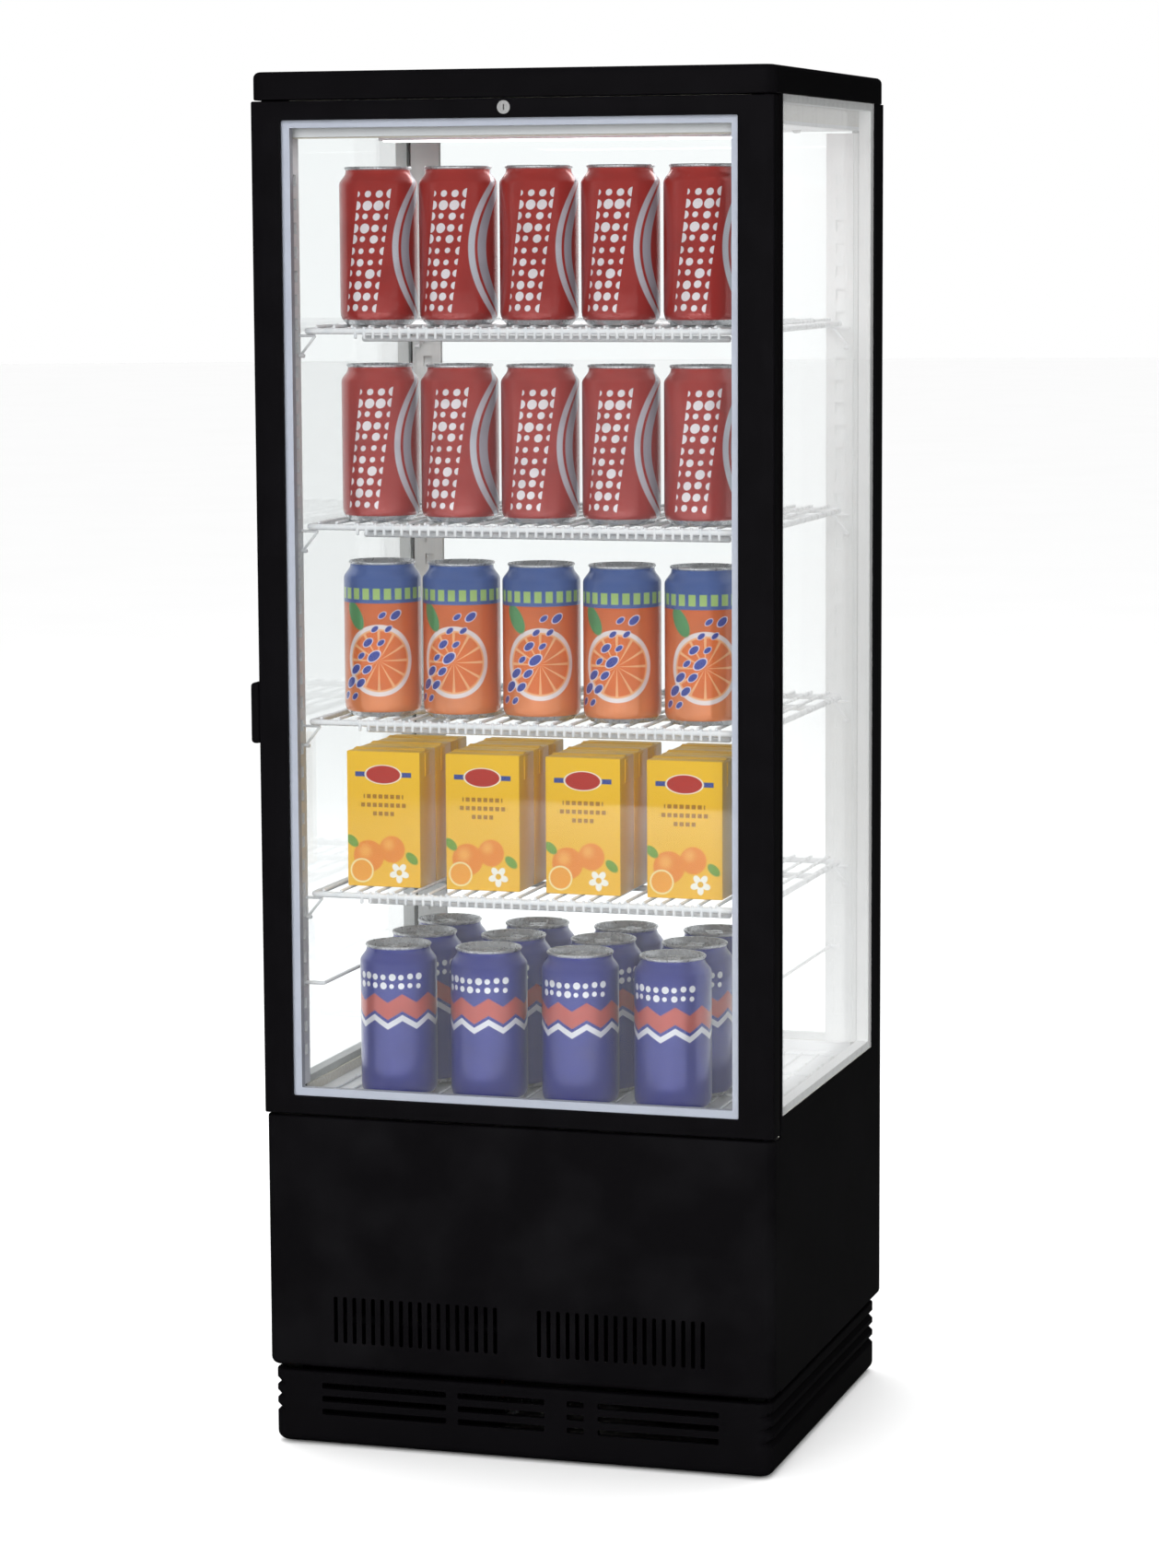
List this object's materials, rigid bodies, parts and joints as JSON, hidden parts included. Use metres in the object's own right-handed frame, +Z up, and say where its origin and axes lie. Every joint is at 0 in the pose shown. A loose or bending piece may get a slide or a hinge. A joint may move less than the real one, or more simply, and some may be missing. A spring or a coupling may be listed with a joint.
{
  "type": "four-sided glass drinks display cooler",
  "caption": "Upright counter-top drinks cooler with glass on all four sides, a hinged front door, wire shelves of cans and cartons, and a cooling unit in its base.",
  "frame": {"origin": "on the floor under the middle of the cabinet", "axes": "+Z up, -Y out of the door side, +X to the right seen from the door side"},
  "size_m": [0.435, 0.3805, 1.11],
  "materials": {
    "black_plastic": "satin",
    "black_steel": "satin",
    "black_aluminium": "satin",
    "zinc_steel": "satin",
    "bright_steel": "polished",
    "black_rubber": "matte",
    "grey_plastic": "satin",
    "white_plastic": "satin",
    "white_wire": "gloss",
    "foam": "matte",
    "aluminium_fins": "satin",
    "satin_aluminium": "satin",
    "clear_glass": "gloss",
    "can_red": "gloss",
    "can_orange": "gloss",
    "can_blue": "gloss",
    "juice_carton": "satin",
    "lamp_diffuser": "satin",
    "copper_tube": "satin"
  },
  "bodies": {
    "cabinet": {"plinth": "black_plastic", "base_plate": "zinc_steel", "rubber_feet": "black_rubber", "front_panel": "black_steel", "side_panel_left": "black_steel", "side_panel_right": "black_steel", "rear_cover": "black_steel", "panel_screws": "bright_steel", "insulated_base": "foam", "evaporator": "aluminium_fins", "evaporator_fan_plate": "white_plastic", "evaporator_fan_motor": "zinc_steel", "floor_panel": "white_plastic", "floor_rack": "white_wire", "front_posts": "black_aluminium", "rear_posts": "black_aluminium", "compartment_frame": "zinc_steel", "cable_gland": "black_plastic", "front_pilasters": "white_plastic", "rear_pilasters": "satin_aluminium", "glass_left": "clear_glass", "glass_right": "clear_glass", "glass_rear": "clear_glass", "glass_spacers": "satin_aluminium", "shelf_clips": "white_plastic", "spare_shelf_rails": "white_wire", "stock_5": "can_blue", "ceiling_panel": "white_plastic", "top_frame": "foam", "top_cap": "black_plastic", "lamp_housing": "white_plastic", "lamp_diffuser": "lamp_diffuser", "ceiling_screws": "bright_steel", "hinge_brackets": "black_steel", "compressor": "black_steel", "compressor_mounts": "black_rubber", "condenser": "black_steel", "condenser_shroud": "black_steel", "condenser_fan_motor": "zinc_steel", "copper_pipes": "copper_tube"},
    "door": {"door_frame": "black_aluminium", "door_glass": "clear_glass", "door_liner": "grey_plastic", "door_gasket": "black_rubber", "door_handle": "black_plastic", "lock_collar": "bright_steel"},
    "lock": {"lock_barrel": "bright_steel"},
    "condenser_fan": {"condenser_fan": "black_plastic"},
    "evaporator_fan": {"evaporator_fan": "black_plastic"},
    "shelf_1": {"shelf_1": "white_wire", "stock_1": "can_red"},
    "shelf_2": {"shelf_2": "white_wire", "stock_2": "can_red"},
    "shelf_3": {"shelf_3": "white_wire", "stock_3": "can_orange"},
    "shelf_4": {"shelf_4": "white_wire", "stock_4": "juice_carton"},
    "thermostat_knob": {"thermostat_knob": "black_plastic"},
    "light_switch": {"light_switch": "black_plastic"},
    "drip_tray": {"drip_tray": "black_plastic"}
  },
  "joints": [
    {"name": "door_hinge", "type": "hinge", "parent": "cabinet", "child": "door", "pos_m": [0.205, -0.177, 0.68], "axis": [0, 0, 1], "range_deg": [0, 110]},
    {"name": "lock_turn", "type": "hinge", "parent": "door", "child": "lock", "pos_m": [-0.003, -0.175, 1.08], "axis": [0, 1, 0], "range_deg": [0, 90]},
    {"name": "condenser_fan_spin", "type": "hinge", "parent": "cabinet", "child": "condenser_fan", "pos_m": [-0.115, -0.1, 0.084], "axis": [0, 1, 0], "continuous": true},
    {"name": "evaporator_fan_spin", "type": "hinge", "parent": "cabinet", "child": "evaporator_fan", "pos_m": [0.1, 0, 0.246], "axis": [0, 0, 1], "continuous": true},
    {"name": "shelf_1_lift", "type": "slide", "parent": "cabinet", "child": "shelf_1", "axis": [0, 0, 1], "range_m": [0, 0.01]},
    {"name": "shelf_2_lift", "type": "slide", "parent": "cabinet", "child": "shelf_2", "axis": [0, 0, 1], "range_m": [0, 0.01]},
    {"name": "shelf_3_lift", "type": "slide", "parent": "cabinet", "child": "shelf_3", "axis": [0, 0, 1], "range_m": [0, 0.01]},
    {"name": "shelf_4_lift", "type": "slide", "parent": "cabinet", "child": "shelf_4", "axis": [0, 0, 1], "range_m": [0, 0.01]},
    {"name": "thermostat_turn", "type": "hinge", "parent": "cabinet", "child": "thermostat_knob", "pos_m": [0.15, 0.185, 0.21], "axis": [0, 1, 0], "range_deg": [0, 270]},
    {"name": "light_switch_rock", "type": "hinge", "parent": "cabinet", "child": "light_switch", "pos_m": [0.15, 0.184, 0.183], "axis": [1, 0, 0], "range_deg": [0, 16]},
    {"name": "drip_tray_slide", "type": "slide", "parent": "cabinet", "child": "drip_tray", "axis": [0, 1, 0], "range_m": [0, 0.12]}
  ]
}
